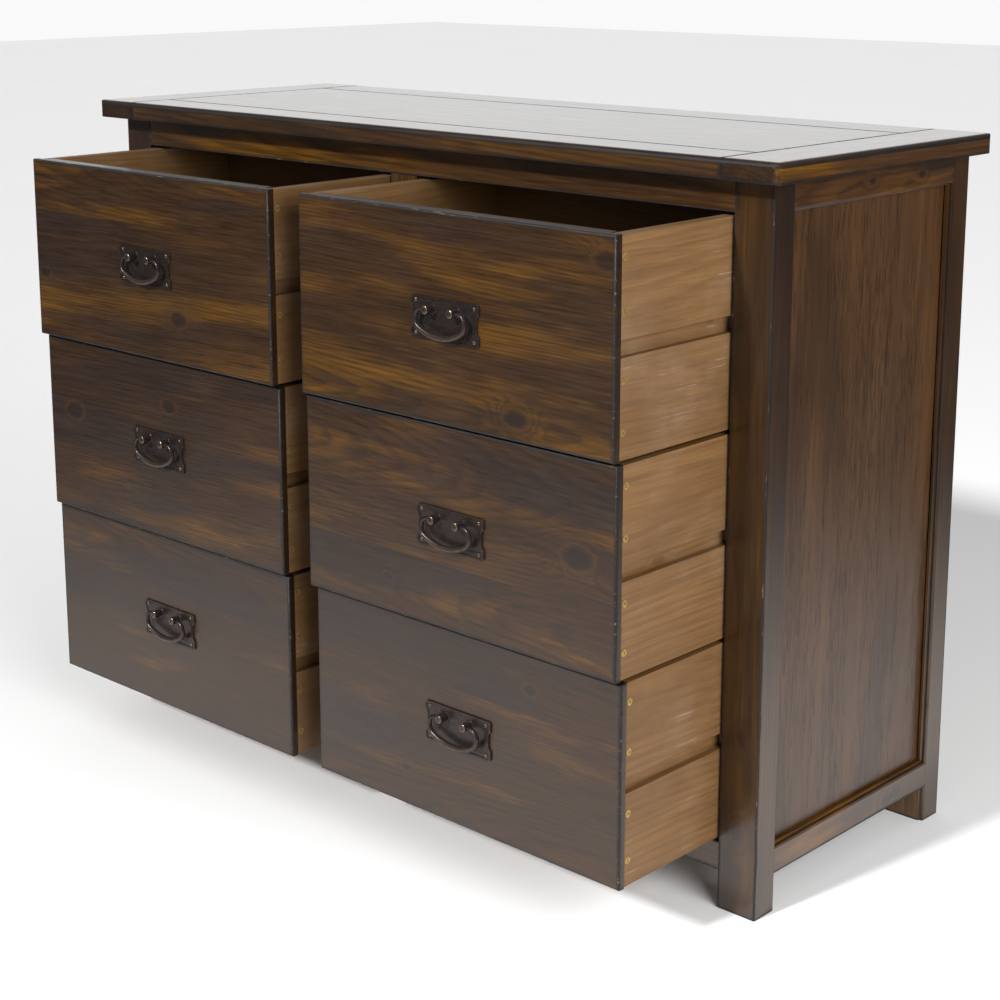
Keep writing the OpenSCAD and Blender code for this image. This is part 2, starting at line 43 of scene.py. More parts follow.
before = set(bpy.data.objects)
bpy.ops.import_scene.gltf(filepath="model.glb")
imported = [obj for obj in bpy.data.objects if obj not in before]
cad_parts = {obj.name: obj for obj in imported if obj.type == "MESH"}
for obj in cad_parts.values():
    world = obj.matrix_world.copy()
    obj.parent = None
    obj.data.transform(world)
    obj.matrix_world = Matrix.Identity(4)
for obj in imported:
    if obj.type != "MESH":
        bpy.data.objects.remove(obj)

MM = 0.001
X, Y, Z = 0, 1, 2
SIDES = (-1, 1)
COLUMNS = ("left", "right")
ROWS = ("top", "middle", "bottom")
DRAWERS = [f"{column}_{row}" for column in COLUMNS for row in ROWS]
PATTERN = DRAWERS[0]


# ---- Sizes and colours ----

def length(name, description, millimetres):
    return FloatProperty(name=name, description=description, default=millimetres * MM,
                         min=0.0, precision=4, subtype="DISTANCE", unit="LENGTH")


def colour(name, description, red, green, blue):
    return FloatVectorProperty(name=name, description=description, default=(red, green, blue),
                               min=0.0, max=1.0, size=3, subtype="COLOR")


class DresserSizes(bpy.types.PropertyGroup):
    front_arris: length("Front arris", "Radius round the face of a drawer front", 2.6)
    frame_arris: length("Frame arris", "Radius of the arrises of legs, rails and top", 0.9)
    raw_arris: length("Raw arris", "Radius of the arrises of the drawer boxes", 0.5)
    plate: length("Plate", "Thickness of a backplate inside its rim", 1.3)
    rim_width: length("Rim width", "Width of the raised rim of a backplate", 2.4)
    rim_height: length("Rim height", "Height of the raised rim of a backplate", 0.8)
    waist: length("Waist", "Depth of the waist in each end of a backplate", 3.0)
    ear_round: length("Ear radius", "Radius of the corners of a backplate", 3.2)
    waist_round: length("Waist rounding", "How far the waist's curves reach from its corners", 1.4)
    ear: length("Ear", "Length of the ears above and below the waist", 11.0)
    knob_pitch: length("Knob pitch", "Distance between the knobs of a pull", 35.0)
    knob_width: length("Knob width", "Diameter of a knob", 9.0)
    pin_width: length("Pin width", "Diameter of the bail's pins", 3.6)
    bail_thin: length("Bail at the knobs", "Diameter of the bail at its shoulders", 4.2)
    bail_middle: length("Bail at the sides", "Diameter of the bail at its sides", 5.4)
    bail_thick: length("Bail at the bottom", "Diameter of the bail at its bottom", 6.8)
    shoulder: length("Shoulder", "Radius of the bail's shoulders", 10.0)
    sweep: length("Sweep", "Radius of the bail's bottom", 60.0)


class DresserColours(bpy.types.PropertyGroup):
    stain: colour("Heavy stain", "Where the wood has taken up the most stain", 0.0190, 0.0092, 0.0054)
    walnut: colour("Walnut", "Body colour of the stained wood", 0.0400, 0.0160, 0.0036)
    amber: colour("Amber", "Glowing streaks of the stained wood", 0.0980, 0.0400, 0.0009)
    late_wood: colour("Late wood", "Dark lines of the stained growth rings", 0.0120, 0.0058, 0.0032)
    # arris also colours the painted shade on the top's rounded upper arris
    arris: colour("Arris", "Stain that gathers along the arrises", 0.0060, 0.0050, 0.0048)
    chip: colour("Chips", "Paler wood where an arris is rubbed", 0.11, 0.076, 0.05)
    panel: colour("Side panel", "Stained ash of the side panels", 0.086, 0.0380, 0.0115)
    raw: colour("Raw wood", "Light of the unfinished drawer boxes", 0.195, 0.100, 0.034)
    raw_dark: colour("Raw late wood", "Dark of the unfinished drawer boxes", 0.105, 0.053, 0.020)
    bronze: colour("Bronze", "Dark antique bronze of the pulls", 0.036, 0.027, 0.025)
    # brass also paints highlights along the backplates' rims and knob faces, besides the rubbed wear
    brass: colour("Rubbed bronze", "Bronze where hands have rubbed it", 0.24, 0.165, 0.09)
    zinc: colour("Zinc", "Yellow zinc of the screws", 0.46, 0.33, 0.09)
    floor: colour("Floor", "Plain floor of the studio", 0.80, 0.80, 0.80)


# ---- Mesh helpers ----

def deselect():
    if bpy.context.mode != "OBJECT":
        bpy.ops.object.mode_set(mode="OBJECT")
    bpy.ops.object.select_all(action="DESELECT")


def choose(*objects):
    """Selects only these objects and makes the first one active."""
    deselect()
    for obj in objects:
        obj.select_set(True)
    bpy.context.view_layer.objects.active = objects[0]


def edit(obj):
    choose(obj)
    bpy.ops.object.mode_set(mode="EDIT")
    bpy.ops.mesh.select_all(action="SELECT")


def pick(obj, kind, test):
    """Selects only the faces, edges or vertices that pass a test, in edit mode."""
    bpy.ops.mesh.select_mode(type=kind)
    bpy.ops.mesh.select_all(action="DESELECT")
    mesh = bmesh.from_edit_mesh(obj.data)
    for element in {"FACE": mesh.faces, "EDGE": mesh.edges, "VERT": mesh.verts}[kind]:
        if test(element):
            element.select_set(True)
    bmesh.update_edit_mesh(obj.data)


def new_object(name, mesh):
    obj = bpy.data.objects.new(name, mesh)
    bpy.context.scene.collection.objects.link(obj)
    return obj


def copy_of_node(node, name):
    """A merged copy of a CAD node, with each flat face in one piece."""
    obj = new_object(name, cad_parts[node].data.copy())
    obj.data.materials.clear()
    edit(obj)
    bpy.ops.mesh.remove_doubles(threshold=0.01 * MM)
    bpy.ops.mesh.dissolve_limited(angle_limit=math.radians(0.5))
    deselect()
    return obj


def block(name, low, high):
    """A box between two corners, with its object at the origin."""
    deselect()
    bpy.ops.mesh.primitive_cube_add(size=1, location=(Vector(low) + Vector(high)) / 2,
                                    scale=Vector(high) - Vector(low))
    obj = bpy.context.active_object
    obj.name = name
    bpy.ops.object.transform_apply(location=True, rotation=True, scale=True)
    return obj


def turned(name, steps, sides, at, facing):
    """A turned shape: a disc for each (radius, distance) along the facing direction, joined in order."""
    deselect()
    turn = Vector((0, 0, 1)).rotation_difference(Vector(facing)).to_euler()
    bpy.ops.mesh.primitive_circle_add(vertices=sides, radius=steps[0][0], fill_type="NGON", rotation=turn,
                                      location=Vector(at) + Vector(facing) * steps[0][1])
    obj = bpy.context.active_object
    obj.name = name
    bpy.ops.object.transform_apply(location=True, rotation=True, scale=True)
    edit(obj)
    for (radius, distance), (next_radius, next_distance) in zip(steps, steps[1:]):
        move = Vector(facing) * (next_distance - distance)
        bpy.ops.mesh.extrude_region_move(TRANSFORM_OT_translate={"value": move})
        bpy.ops.transform.resize(value=(next_radius / radius,) * 3,
                                 center_override=Vector(at) + Vector(facing) * next_distance)
    bpy.ops.mesh.select_all(action="SELECT")
    bpy.ops.mesh.normals_make_consistent(inside=False)
    deselect()
    return obj


def apply(obj, kind, **settings):
    """Adds one modifier and applies it."""
    choose(obj)
    modifier = obj.modifiers.new(kind.lower(), kind)
    for key, value in settings.items():
        setattr(modifier, key, value)
    bpy.ops.object.modifier_apply(modifier=modifier.name)


def ease(obj, radius, angle=35):
    """Rounds the arrises of a piece that are sharper than an angle and shades it smooth between them."""
    apply(obj, "BEVEL", width=radius, segments=2, limit_method="ANGLE", angle_limit=math.radians(angle),
          use_clamp_overlap=True, miter_outer="MITER_ARC")
    shade(obj)


def shade(obj):
    choose(obj)
    bpy.ops.object.shade_smooth_by_angle(angle=math.radians(38))
    apply(obj, "WEIGHTED_NORMAL", keep_sharp=True, weight=70)


def cut(obj, *tools, operation="DIFFERENCE"):
    """Cuts the tools out of a piece, or adds them to it, and removes them."""
    for tool in tools:
        apply(obj, "BOOLEAN", operation=operation, object=tool, solver="EXACT")
        bpy.data.objects.remove(tool)


def join(obj, *others):
    choose(obj, *others)
    bpy.ops.object.join()
    deselect()


def copied(obj, name, move):
    """A copy with its own mesh, moved in the mesh."""
    twin = new_object(name, obj.data.copy())
    twin.data.transform(Matrix.Translation(move))
    return twin


def vertex_places(mesh):
    places = np.empty(len(mesh.vertices) * 3)
    mesh.vertices.foreach_get("co", places)
    return places.reshape(-1, 3)


def part_numbers(mesh):
    """A number for each vertex, the same for all that are joined by edges."""
    part = list(range(len(mesh.vertices)))

    def root(i):
        while part[i] != i:
            part[i] = part[part[i]]
            i = part[i]
        return i

    for edge in mesh.edges:
        part[root(edge.vertices[0])] = root(edge.vertices[1])
    return np.array([root(i) for i in range(len(part))])


def parts_of_node(node):
    """The vertices of each separate solid of a CAD node, in order of their lowest corners."""
    obj = copy_of_node(node, "measured")
    places, numbers = vertex_places(obj.data), part_numbers(obj.data)
    bpy.data.objects.remove(obj)
    parts = [places[numbers == n] for n in np.unique(numbers)]
    return sorted(parts, key=lambda p: tuple(np.round(p.min(0), 5)))


def write(mesh, name, kind, values):
    attribute = mesh.attributes.new(name, kind, "CORNER")
    attribute.data.foreach_set("vector" if kind == "FLOAT_VECTOR" else "value", values.ravel())


def lay_grain(obj, along, tone=0.5, knots=None, joints=(), knotty=0.5):
    """Gives each board its own grain, as attributes that the wood materials read.

    grain holds the distances along the board and, across it, from the pith that it grew round.
    low and high hold the distances from its faces, and end that from its nearer end.
    knot_a and knot_b hold the distances from two knots along and across the board, and their size.
    """
    mesh = obj.data
    draw = random.Random(obj.name)
    corner = np.empty(len(mesh.loops), int)
    mesh.loops.foreach_get("vertex_index", corner)
    place = vertex_places(mesh)[corner]
    part = part_numbers(mesh)[corner]
    middle = np.concatenate([[face.center] * face.loop_total for face in mesh.polygons])
    values = {name: np.zeros((len(corner), 3)) for name in ("grain", "low", "high", "knot_a", "knot_b")}
    tones, ends = np.zeros(len(corner)), np.zeros(len(corner))
    for number in sorted(np.unique(part), key=lambda n: tuple(np.round(place[part == n].min(0), 5))):
        board = part == number
        low, high = place[board].min(0), place[board].max(0)
        across, through = sorted({X, Y, Z} - {along}, key=lambda axis: low[axis] - high[axis])
        values["low"][board] = place[board] - low
        values["high"][board] = high - place[board]
        ends[board] = np.minimum(place[board] - low, high - place[board])[:, along]
        plank = np.searchsorted(joints, middle[:, across])
        for n in range(len(joints) + 1):
            here = board & (plank == n)
            p = place[here] - (low + high) / 2
            width = (high - low)[across]
            lean = draw.uniform(0.01, 0.05) * draw.choice((-1, 1))
            pith = draw.uniform(-0.7, 0.7) * width
            depth = draw.uniform(0.05, 0.11)
            values["grain"][here] = np.column_stack((
                p[:, along] + draw.uniform(1, 9),
                p[:, across] - pith + draw.uniform(-0.03, 0.03) * p[:, along],
                p[:, through] + depth + lean * p[:, along]))
            tones[here] = tone + draw.uniform(-0.08, 0.08)
        chosen = knots
        if knots is None:
            chosen = [(draw.uniform(-0.4, 0.4) * (high - low)[along], draw.uniform(-0.3, 0.3) * width,
                       draw.uniform(0.004, 0.009)) for n in range(2) if draw.random() < knotty]
        for name, (x, y, size) in zip(("knot_a", "knot_b"), chosen):
            p = place[board] - (low + high) / 2
            sizes = np.full(len(p), size)
            values[name][board] = np.column_stack((p[:, along] - x, p[:, across] - y, sizes))
    for name, value in values.items():
        write(mesh, name, "FLOAT_VECTOR", value)
    write(mesh, "tone", "FLOAT", tones)
    write(mesh, "end", "FLOAT", ends)


def mark_rubbed_and_highlit(obj, hardest=0.5, narrow=0.45 * MM):
    """Marks the arrises that stand out, which is where hands rub a casting bright; the mark also paints
    highlights along the rim and knob faces.

    An arris is a face narrower than narrow; one that turns by hardest or more is rubbed the most.
    """
    mesh = bmesh.new()
    mesh.from_mesh(obj.data)
    rub = {vertex: max([0.0, *(edge.calc_face_angle_signed(0.0) for edge in vertex.link_edges)]) / hardest
           for vertex in mesh.verts}
    values = []
    for face in mesh.faces:
        is_arris = 2 * face.calc_area() / face.calc_perimeter() < narrow
        values += [min(rub[vertex], 1.0) if is_arris else 0.0 for vertex in face.verts]
    mesh.free()
    write(obj.data, "rub", "FLOAT", np.array(values))


def stand_in(obj, name, node, body, material):
    """The piece stands for a CAD node, moves with its body and takes the given finish as its material."""
    obj.name = name
    obj.data.name = name
    obj.data.materials.clear()
    obj.data.materials.append(material)
    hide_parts(node)
    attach(obj, body)


# ---- Shader helpers ----

def opaque(rgb):
    return (*rgb, 1.0)


class Nodes:
    """Adds and joins the nodes of one shader tree."""

    def __init__(self, tree):
        self.tree = tree

    def feed(self, socket, value):
        if isinstance(value, bpy.types.NodeSocket):
            self.tree.links.new(value, socket)
        else:
            socket.default_value = value

    def add(self, kind, inputs=None, **settings):
        node = self.tree.nodes.new("ShaderNode" + kind)
        for key, value in settings.items():
            setattr(node, key, value)
        for key, value in (inputs or {}).items():
            self.feed(node.inputs[key], value)
        return node

    def math(self, operation, *values):
        return self.add("Math", dict(enumerate(values)), operation=operation).outputs[0]

    def times(self, a, b):
        return self.math("MULTIPLY", a, b)

    def plus(self, a, b):
        return self.math("ADD", a, b)

    def minus(self, a, b):
        return self.math("SUBTRACT", a, b)

    def tinted(self, colour, mask, amount, rgb):
        return self.blend(self.times(mask, amount), colour, opaque(rgb))

    def stretched(self, vector, *factors):
        return self.add("VectorMath", {0: vector, 1: factors}, operation="MULTIPLY").outputs[0]

    def vector(self, x, y, z):
        return self.add("CombineXYZ", {0: x, 1: y, 2: z}).outputs[0]

    def distance(self, vector):
        return self.add("VectorMath", {0: vector}, operation="LENGTH").outputs["Value"]

    def split(self, vector):
        return self.add("SeparateXYZ", {0: vector}).outputs

    def attribute(self, name, output="Vector"):
        return self.add("Attribute", attribute_name=name).outputs[output]

    def noise(self, vector, detail=2.0, roughness=0.5, scale=1.0):
        inputs = {"Vector": vector, "Scale": scale, "Detail": detail, "Roughness": roughness}
        return self.add("TexNoise", inputs).outputs[0]

    def step(self, value, low, high, start=0.0, end=1.0):
        inputs = {"Value": value, "From Min": low, "From Max": high, "To Min": start, "To Max": end}
        return self.add("MapRange", inputs, interpolation_type="SMOOTHSTEP").outputs[0]

    def blend(self, factor, low, high, mode="MIX"):
        node = self.add("Mix", {0: factor, 6: low, 7: high}, data_type="RGBA", blend_type=mode)
        return node.outputs[2]

    def group(self, tree, **values):
        node = self.add("Group", node_tree=tree)
        for key, value in values.items():
            self.feed(node.inputs[key.replace("_", " ").capitalize()], value)
        return node.outputs

    def bump(self, height, depth):
        return self.add("Bump", {"Height": height, "Distance": depth, "Strength": 1.0}).outputs[0]


def shared(name, inputs, outputs, build):
    """A shader node group of float sockets, built once by a function that returns its outputs."""
    tree = bpy.data.node_groups.get(name)
    if tree:
        return tree
    tree = bpy.data.node_groups.new(name, "ShaderNodeTree")
    for key, value in inputs.items():
        socket = tree.interface.new_socket(key, in_out="INPUT", socket_type="NodeSocketFloat")
        socket.default_value = value
    for key in outputs:
        tree.interface.new_socket(key, in_out="OUTPUT", socket_type="NodeSocketFloat")
    nodes = Nodes(tree)
    given = tree.nodes.new("NodeGroupInput").outputs
    results = tree.nodes.new("NodeGroupOutput").inputs
    for key, value in zip(outputs, build(nodes, given)):
        tree.links.new(value, results[key])
    return tree


def build_growth(n, given):
    grain = n.attribute("grain")
    bend, core, rim, halo = 0.0, 0.0, 0.0, 0.0
    ragged = n.times(n.minus(n.noise(n.stretched(grain, 60, 160, 160)), 0.5), 0.5)
    for name in ("knot_a", "knot_b"):
        along, across, size = n.split(n.attribute(name))
        there = n.math("GREATER_THAN", size, 0.5 * MM)
        reach = n.math("MAXIMUM", size, 1 * MM)
        along = n.math("DIVIDE", along, n.times(reach, 1.7))
        far = n.distance(n.vector(along, n.math("DIVIDE", across, reach), 0.0))
        far = n.plus(far, ragged)
        swell = n.math("POWER", math.e, n.times(n.times(far, far), -0.55))
        bend = n.plus(bend, n.times(n.times(swell, there), n.times(size, 1.6)))
        core = n.plus(core, n.times(there, n.step(far, 0.85, 0.55)))
        ring = n.times(n.step(far, 0.80, 0.95), n.step(far, 1.20, 1.00))
        rim = n.plus(rim, n.times(there, ring))
        halo = n.plus(halo, n.times(swell, there))
    slow = n.minus(n.noise(n.stretched(grain, 2.4, 7, 7)), 0.5)
    quick = n.minus(n.noise(n.stretched(grain, 12, 90, 90), detail=3), 0.5)
    drift = n.times(slow, given["Wander"])
    ripple = n.times(quick, 3 * MM)
    radius = n.distance(n.stretched(grain, 0, 1, 1))
    radius = n.plus(n.plus(radius, bend), n.plus(drift, ripple))
    uneven = n.times(n.noise(n.vector(radius, 0.0, 0.0), scale=90), 1.6)
    years = n.plus(n.math("DIVIDE", radius, given["Ring width"]), uneven)
    season = n.math("FRACT", years)
    late = n.times(n.step(season, 0.35, 0.85), n.step(season, 1.0, 0.92))
    fibre = n.noise(n.stretched(grain, 10, 330, 330), detail=3, roughness=0.65)
    cloud = n.noise(n.stretched(grain, 2.2, 12, 12), detail=3, roughness=0.5)
    glow = n.noise(n.stretched(grain, 4, 27, 27), detail=4, roughness=0.58)
    return late, fibre, core, rim, halo, cloud, glow


def growth():
    """Growth rings, fibres, knots and the cloudy take-up of stain, from a board's own grain."""
    return shared("Board growth", {"Ring width": 0.005, "Wander": 0.03},
                  ("Late wood", "Fibre", "Knot", "Rim", "Halo", "Cloud", "Glow"), build_growth)


def build_arris(n, given):
    low, high = n.attribute("low"), n.attribute("high")
    a, b, c = n.split(n.add("VectorMath", {0: low, 1: high}, operation="MINIMUM").outputs[0])
    inner = n.math("MAXIMUM", n.math("MINIMUM", a, b), n.math("MINIMUM", n.math("MAXIMUM", a, b), c))
    grain = n.attribute("grain")
    ragged = n.noise(n.stretched(grain, 40, 260, 260), detail=3, roughness=0.6)
    edge = n.plus(n.math("DIVIDE", inner, given["Reach"]), n.minus(ragged, 0.5))
    # painted shade: a rounded upper arris is darkened all over, for the dark reflection in its rounding as
    # well as the stain there
    below_top = n.split(high)[2]
    upper = n.math("DIVIDE", n.math("MAXIMUM", below_top, n.math("MINIMUM", a, b)), given["Upper"])
    rounded = n.times(n.step(upper, 1.05, 0.9), n.step(below_top, 0.2 * MM, 0.8 * MM))
    mask = n.math("MAXIMUM", n.step(edge, 1.0, 0.25), rounded)
    spots = n.noise(n.stretched(grain, 70, 330, 330), detail=3, roughness=0.7)
    near = n.step(n.math("DIVIDE", inner, given["Reach"]), 0.6, 0.2)
    chips = n.times(n.step(spots, 0.60, 0.70), near)
    end_grain = n.step(n.attribute("end", "Fac"), 1.2 * MM, 0.2 * MM)
    return mask, chips, end_grain


def arrises():
    """Stain that gathers along a board's arrises, with painted shade over a rounded upper arris, the chips
    on them, and its end grain.

    Upper is the size of a rounded upper arris that is dark all over: partly stain that collects there,
    partly painted shade for the dark reflection in its rounding.
    """
    return shared("Board arrises", {"Reach": 4 * MM, "Upper": 0.1 * MM},
                  ("Gathered", "Chips", "End grain"), build_arris)


def build_pores(n, given):
    grain = n.attribute("grain")
    long_cells = n.noise(n.stretched(grain, 26, 680, 680), detail=1)
    bands = n.noise(n.stretched(grain, 1.5, 70, 70), detail=2)
    deep = n.times(n.step(long_cells, 0.55, 0.63), n.step(bands, 0.42, 0.58))
    return (n.times(deep, given["Amount"]),)


def pores():
    """Open pores: short dashes along the grain, closer together in bands."""
    return shared("Open pores", {"Amount": 1.0}, ("Pores",), build_pores)


def build_rubs(n, given):
    place = n.add("TexCoord").outputs["Object"]
    patches = n.noise(place, detail=3, roughness=0.6, scale=9)
    scratches = n.noise(n.stretched(n.attribute("grain"), 7, 300, 300), detail=3, roughness=0.6)
    lines = n.times(n.step(scratches, 0.62, 0.72), n.step(patches, 0.48, 0.62))
    specks = n.noise(place, detail=4, roughness=0.7, scale=45)
    dust = n.times(specks, n.step(patches, 0.40, 0.75))
    return n.times(lines, given["Amount"]), n.times(dust, given["Amount"])


def rubs():
    """Fine scratches and a film of dust from handling."""
    return shared("Handling marks", {"Amount": 1.0}, ("Scratches", "Dust"), build_rubs)


def new_material(name):
    material = bpy.data.materials.new(name)
    material.use_nodes = True
    nodes = Nodes(material.node_tree)
    return material, nodes, material.node_tree.nodes["Principled BSDF"]


def timber(name, heavy, body, glow, late, ring=3.2 * MM, wander=20 * MM, late_depth=0.45, fibre_depth=0.28,
           cloud=(0.35, 0.52), glowing=(0.48, 0.72), gloss=0.31, coat=0.5, reach=4 * MM, upper=0.1 * MM,
           arris=None, chip=None, pore=0.04, rub=0.06, dust=(0.20, 0.18, 0.16), relief=0.2 * MM):
    """Wood with its rings, fibres, knots, stained clouds, arrises, pores and handling marks.

    heavy, body, glow and late are its colours. cloud and glowing are the noise levels between which the
    stain turns from heavy to body and from body to glow. ring, wander, reach, upper and relief are lengths.
    """
    material, n, surface = new_material(name)
    late_wood, fibre, knot, rim, halo, clouds, streaks = n.group(growth(), ring_width=ring, wander=wander)
    gathered_stain_and_shade, chips, end_grain = n.group(arrises(), reach=reach, upper=upper)
    pore_mask = n.group(pores(), amount=pore)[0]
    scratches, film = n.group(rubs(), amount=rub)

    tone = n.times(n.minus(n.attribute("tone", "Fac"), 0.5), 0.4)
    colour = n.blend(n.step(n.plus(clouds, tone), *cloud), opaque(heavy), opaque(body))
    streak = n.step(n.plus(streaks, tone), *glowing)
    colour = n.blend(n.times(streak, n.step(clouds, 0.35, 0.6)), colour, opaque(glow))
    colour = n.tinted(colour, late_wood, late_depth, late)
    shadow = n.step(fibre, 0.30, 0.70, 1.0 - fibre_depth, 1.0 + fibre_depth)
    colour = n.blend(1.0, colour, n.vector(shadow, shadow, shadow), mode="MULTIPLY")
    colour = n.tinted(colour, halo, 0.6, heavy)
    colour = n.tinted(colour, rim, 0.35, shade_of(glow, 0.7))
    colour = n.tinted(colour, knot, 0.6, shade_of(late, 0.7))
    colour = n.blend(pore_mask, colour, opaque(shade_of(heavy, 0.4)))
    colour = n.tinted(colour, end_grain, 0.7, shade_of(late, 0.8))
    # stain along the arrises; on a rounded upper arris also painted shade for its dark reflection
    if arris:
        colour = n.tinted(colour, gathered_stain_and_shade, 0.85, arris)
    if chip:
        colour = n.blend(chips, colour, opaque(chip))
    colour = n.tinted(colour, scratches, 0.6, dust)
    colour = n.tinted(colour, film, 0.35, dust)

    matt = n.times(gathered_stain_and_shade, gathered_stain_and_shade)
    uneven = n.step(fibre, 0.2, 0.8, gloss - 0.05, gloss + 0.09)
    uneven = n.plus(uneven, n.times(film, 0.4))
    uneven = n.plus(uneven, n.times(matt, 0.25))
    height = n.plus(n.times(fibre, 0.35), n.times(late_wood, 0.25))
    height = n.minus(height, n.times(pore_mask, 1.2))
    n.feed(surface.inputs["Base Color"], colour)
    n.feed(surface.inputs["Roughness"], uneven)
    n.feed(surface.inputs["Normal"], n.bump(height, relief))
    n.feed(surface.inputs["Coat Weight"], n.times(coat, n.minus(1.0, matt)))
    surface.inputs["Coat Roughness"].default_value = 0.2
    return material


def shade_of(rgb, factor):
    return [c * factor for c in rgb]


def finishes(colours):
    """Every material of the dresser, by its finish."""
    stain = {"heavy": colours.stain, "body": colours.walnut, "glow": colours.amber,
             "late": colours.late_wood, "arris": colours.arris}
    front = {**stain, "body": shade_of(colours.walnut, 0.68), "glow": shade_of(colours.amber, 0.8)}
    panel = {**stain, "heavy": shade_of(colours.panel, 0.6), "body": colours.panel,
             "glow": shade_of(colours.panel, 1.3)}
    raw = {"heavy": shade_of(colours.raw, 0.72), "body": colours.raw, "glow": shade_of(colours.raw, 1.15),
           "late": colours.raw_dark}
    back = {**raw, "body": shade_of(colours.raw, 0.6)}
    ply = {"ring": 20 * MM, "wander": 80 * MM, "late_depth": 0.3}
    dull = {"gloss": 0.58, "coat": 0.0}
    return {
        "front": timber("Stained pine fronts", **front, chip=colours.chip, coat=0.2, reach=5 * MM,
                        relief=0.07 * MM),
        "frame": timber("Stained pine frame", **stain, ring=5 * MM, chip=colours.chip, cloud=(0.32, 0.48),
                        glowing=(0.42, 0.64), relief=0.12 * MM),
        # upper: the top's rounded arris is painted dark all over, stain and painted shade together
        "top": timber("Lacquered top", **stain, ring=6 * MM, cloud=(0.35, 0.55), gloss=0.2, coat=1.0,
                      reach=4.5 * MM, upper=6.5 * MM, relief=0.1 * MM),
        "panel": timber("Stained ash panels", **panel, ring=11 * MM, wander=50 * MM, late_depth=0.15,
                        fibre_depth=0.16, pore=0.75, gloss=0.34, coat=0.25, relief=0.3 * MM),
        "inner": timber("Inner rails", **raw, ring=6 * MM, **dull),
        "raw": timber("Raw drawer wood", **raw, ring=8 * MM, late_depth=0.5, fibre_depth=0.2,
                      cloud=(0.3, 0.6), rub=0.5, dust=(0.40, 0.32, 0.24), relief=0.15 * MM, **dull),
        "base": timber("Drawer plywood", **raw, **ply, **dull),
        "back": timber("Back board", **back, **ply, **dull),
        "bronze": bronze(colours),
        "zinc": zinc(colours),
    }


def bronze(colours):
    """Dark cast bronze, rubbed bright where it stands out, and with painted highlights along the rims and
    knob faces of the backplates.
    """
    material, n, surface = new_material("Antique bronze")
    place = n.add("TexCoord").outputs["Object"]
    pitted = n.noise(place, detail=3, roughness=0.55, scale=900)
    patches = n.noise(place, detail=3, roughness=0.6, scale=160)
    # rub mask: wear on the arrises, and on the backplate's rim and knob faces also painted highlight
    rubbed = n.times(n.attribute("rub", "Fac"), n.step(patches, 0.24, 0.46))
    lighter = shade_of(colours.bronze, 1.35)
    colour = n.blend(n.step(patches, 0.3, 0.7), opaque(colours.bronze), opaque(lighter))
    colour = n.tinted(colour, rubbed, 0.5, colours.brass)
    n.feed(surface.inputs["Base Color"], colour)
    n.feed(surface.inputs["Roughness"], n.step(pitted, 0.3, 0.7, 0.27, 0.36))
    n.feed(surface.inputs["Normal"], n.bump(pitted, 0.01 * MM))
    surface.inputs["Metallic"].default_value = 0.7
    return material


def zinc(colours):
    """Bright yellow zinc plate, a little blotchy."""
    material, n, surface = new_material("Yellow zinc")
    place = n.add("TexCoord").outputs["Object"]
    patches = n.noise(place, detail=3, roughness=0.6, scale=260)
    duller = shade_of(colours.zinc, 0.6)
    colour = n.blend(n.step(patches, 0.35, 0.7), opaque(colours.zinc), opaque(duller))
    n.feed(surface.inputs["Base Color"], colour)
    n.feed(surface.inputs["Roughness"], n.step(patches, 0.3, 0.7, 0.30, 0.45))
    n.feed(surface.inputs["Normal"], n.bump(patches, 0.03 * MM))
    surface.inputs["Metallic"].default_value = 0.7
    return material


def finish_of(name):
    """A material of the dresser; all are made when the first one is asked for."""
    if name not in FINISHES:
        FINISHES.update(finishes(bpy.context.scene.dresser_colours))
    return FINISHES[name]


FINISHES = {}


# ---- Carcass ----

def carcass_piece(node, along, finish, radius, knotty=0.5, tone=0.5):
    """One node of the carcass, its arrises eased and its grain laid along an axis."""
    obj = copy_of_node(node, node + "_boards")
    ease(obj, radius)
    lay_grain(obj, along, tone=tone, knotty=knotty)
    stand_in(obj, obj.name, node, "carcass", finish_of(finish))


class DRESSER_OT_top(bpy.types.Operator):
    """Makes the boards of the top"""

    bl_idname = "dresser.top"
    bl_label = "Top"

    def execute(self, context):
        radius = context.scene.dresser_sizes.frame_arris
        for node, along, tone in (("top_panel", X, 0.5), ("top_front_board", X, 0.7),
                                  ("top_back_board", X, 0.5), ("top_end_boards", Y, 0.6)):
            carcass_piece(node, along, "top", radius, knotty=0.2, tone=tone)
        return {"FINISHED"}


class DRESSER_OT_frame(bpy.types.Operator):
    """Makes the legs, rails and stiles"""

    bl_idname = "dresser.frame"
    bl_label = "Legs, rails and stiles"

    def execute(self, context):
        radius = context.scene.dresser_sizes.frame_arris
        for node, along, tone in (("front_legs", Z, 0.75), ("rear_legs", Z, 0.7),
                                  ("front_top_rail", X, 0.95), ("front_bottom_rail", X, 0.5),
                                  ("left_side_rails", Y, 0.45), ("right_side_rails", Y, 0.45),
                                  ("centre_stiles", Z, 0.5)):
            carcass_piece(node, along, "frame", radius / 2, knotty=0.7, tone=tone)
        carcass_piece("back_rails", X, "inner", radius / 2)
        return {"FINISHED"}


class DRESSER_OT_panels(bpy.types.Operator):
    """Makes the side panels, the back board and the partition between the drawers"""

    bl_idname = "dresser.panels"
    bl_label = "Panels"

    def execute(self, context):
        radius = context.scene.dresser_sizes.raw_arris
        for side in COLUMNS:
            carcass_piece(f"{side}_side_panel", Z, "panel", radius, knotty=0.0)
        carcass_piece("back_panel", X, "back", radius, knotty=0.0)
        carcass_piece("centre_partition", Y, "inner", radius, knotty=0.0)
        return {"FINISHED"}


class DRESSER_OT_runners(bpy.types.Operator):
    """Makes the runners that the drawers hang on"""

    bl_idname = "dresser.runners"
    bl_label = "Drawer runners"

    def execute(self, context):
        radius = context.scene.dresser_sizes.raw_arris
        carcass_piece("drawer_runners", Y, "inner", radius, knotty=0.1)
        return {"FINISHED"}


# ---- Screws ----

